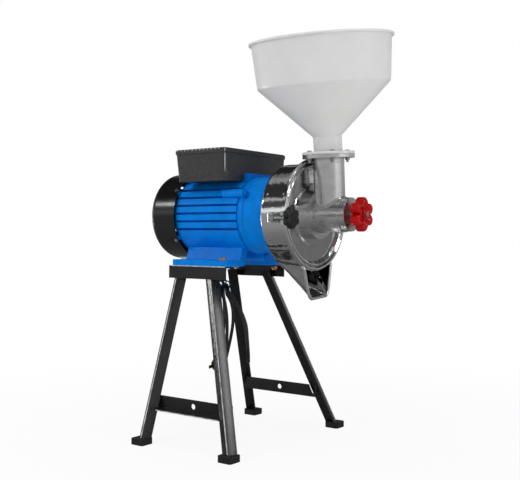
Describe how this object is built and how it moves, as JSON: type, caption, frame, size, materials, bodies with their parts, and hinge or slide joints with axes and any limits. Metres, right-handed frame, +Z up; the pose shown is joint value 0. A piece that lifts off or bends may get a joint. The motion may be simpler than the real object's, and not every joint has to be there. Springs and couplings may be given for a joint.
{
  "type": "electric grain mill",
  "caption": "Electric disc mill on a black angle-iron stand: finned blue motor, polished grinding bowl with spout, cast feed throat, white hopper, red adjusting wheel and swing-bolt knobs.",
  "frame": {"origin": "on the floor under the middle of the machine's bounding box", "axes": "+X along the motor shaft from the fan towards the grinding head, +Y towards the switch and the cord gland, +Z up"},
  "size_m": [0.5145, 0.3882, 0.78],
  "materials": {
    "black_paint": "semi-gloss black enamel",
    "foot_rubber": "matt black rubber",
    "plated_bolt": "yellow passivated steel",
    "blue_enamel": "gloss blue enamel on cast aluminium",
    "blue_bolt": "painted over",
    "core_steel": "laminated",
    "copper": "varnished copper",
    "steel": "bright",
    "fan_plastic": "moulded",
    "black_gloss": "gloss black enamel",
    "box_plastic": "grained charcoal",
    "dark_screw": "oiled",
    "capacitor_can": "moulded can",
    "switch_black": "moulded",
    "switch_red": "gloss",
    "polished_steel": "mirror-polished stainless steel",
    "cast_alloy": "satin casting",
    "burr_iron": "as cast, ground faces",
    "red_plastic": "gloss",
    "knob_plastic": "moulded",
    "hopper_plastic": "translucent white polyethylene",
    "cord_pvc": "black PVC",
    "tie_plastic": "black wire tie",
    "plug_plastic": "moulded",
    "plug_brass": "bright"
  },
  "bodies": {
    "machine": {"near_top_rail": "black_paint", "near_rear_leg": "black_paint", "near_front_leg": "black_paint", "near_cross_strap": "black_paint", "far_top_rail": "black_paint", "far_rear_leg": "black_paint", "far_front_leg": "black_paint", "far_cross_strap": "black_paint", "rubber_feet": "foot_rubber", "foot_bolts": "plated_bolt", "motor_housing": "blue_enamel", "rear_end_shield": "blue_enamel", "front_end_shield": "blue_enamel", "shield_bolts": "blue_bolt", "stator_core": "core_steel", "stator_windings": "copper", "bearings": "steel", "shaft_seal": "foot_rubber", "fan_cover": "black_gloss", "cover_screws": "steel", "box_base": "box_plastic", "box_lid": "box_plastic", "lid_screws": "dark_screw", "capacitors": "capacitor_can", "switch_bezel": "switch_black", "cable_gland": "switch_black", "grinding_bowl": "polished_steel", "bowl_bolts": "steel", "front_cover": "polished_steel", "feed_casting": "cast_alloy", "fixed_burr": "burr_iron", "burr_screws": "dark_screw", "barrel_end_cap": "cast_alloy", "end_cap_screws": "dark_screw", "near_bolt_bracket": "steel", "far_bolt_bracket": "steel", "hopper": "hopper_plastic", "hopper_bolts": "steel", "power_cord": "cord_pvc", "cord_hank": "cord_pvc", "cord_tie": "tie_plastic", "mains_plug": "plug_plastic", "plug_pins": "plug_brass"},
    "rotor": {"motor_shaft": "steel", "rotor_core": "core_steel", "cooling_fan": "fan_plastic"},
    "auger_unit": {"auger": "burr_iron", "moving_burr": "burr_iron"},
    "thrust_unit": {"thrust_ball": "steel"},
    "handwheel_unit": {"adjust_screw": "steel", "handwheel": "red_plastic", "handwheel_screw": "steel"},
    "near_bolt_unit": {"near_swing_bolt": "steel"},
    "far_bolt_unit": {"far_swing_bolt": "steel"},
    "near_washer_unit": {"near_washer": "steel"},
    "far_washer_unit": {"far_washer": "steel"},
    "near_knob_unit": {"near_star_knob": "knob_plastic"},
    "far_knob_unit": {"far_star_knob": "knob_plastic"},
    "rocker_unit": {"switch_rocker": "switch_red"}
  },
  "joints": [
    {"name": "rotor_spin", "type": "hinge", "parent": "machine", "child": "rotor", "pos_m": [0, 0, 0.441], "axis": [1, 0, 0], "continuous": true},
    {"name": "auger_slide", "type": "slide", "parent": "rotor", "child": "auger_unit", "axis": [1, 0, 0], "range_m": [-0.003, 0.0015]},
    {"name": "thrust_slide", "type": "slide", "parent": "machine", "child": "thrust_unit", "axis": [1, 0, 0], "range_m": [-0.003, 0.0015]},
    {"name": "handwheel_turn", "type": "hinge", "parent": "thrust_unit", "child": "handwheel_unit", "pos_m": [0, 0, 0.441], "axis": [-1, 0, 0], "range_deg": [-360.01, 720.01]},
    {"name": "near_swing", "type": "hinge", "parent": "machine", "child": "near_bolt_unit", "pos_m": [0.07175, -0.11572, 0.43291], "axis": [0, 0.0698, -0.9976], "range_deg": [0, 75]},
    {"name": "near_knob_travel", "type": "slide", "parent": "near_bolt_unit", "child": "near_washer_unit", "axis": [1, 0, 0], "range_m": [0, 0.0051]},
    {"name": "near_knob_turn", "type": "hinge", "parent": "near_washer_unit", "child": "near_knob_unit", "pos_m": [0.10465, -0.11572, 0.43291], "axis": [1, 0, 0], "range_deg": [0, 1440]},
    {"name": "far_swing", "type": "hinge", "parent": "machine", "child": "far_bolt_unit", "pos_m": [0.07175, 0.11572, 0.44909], "axis": [0, -0.0698, 0.9976], "range_deg": [0, 75]},
    {"name": "far_knob_travel", "type": "slide", "parent": "far_bolt_unit", "child": "far_washer_unit", "axis": [1, 0, 0], "range_m": [0, 0.0051]},
    {"name": "far_knob_turn", "type": "hinge", "parent": "far_washer_unit", "child": "far_knob_unit", "pos_m": [0.10465, 0.11572, 0.44909], "axis": [1, 0, 0], "range_deg": [0, 1440]},
    {"name": "switch_rock", "type": "hinge", "parent": "machine", "child": "rocker_unit", "pos_m": [-0.10025, 0.097, 0.542], "axis": [-1, 0, 0], "range_deg": [0, 16]}
  ],
  "couplings": [
    {"joint": "auger_slide", "follows": "thrust_slide", "ratio": 1},
    {"joint": "handwheel_turn", "follows": "thrust_slide", "rad_per_m": -4188.8},
    {"joint": "near_knob_travel", "follows": "near_knob_turn", "m_per_rad": 0.00019894},
    {"joint": "far_knob_travel", "follows": "far_knob_turn", "m_per_rad": 0.00019894}
  ]
}
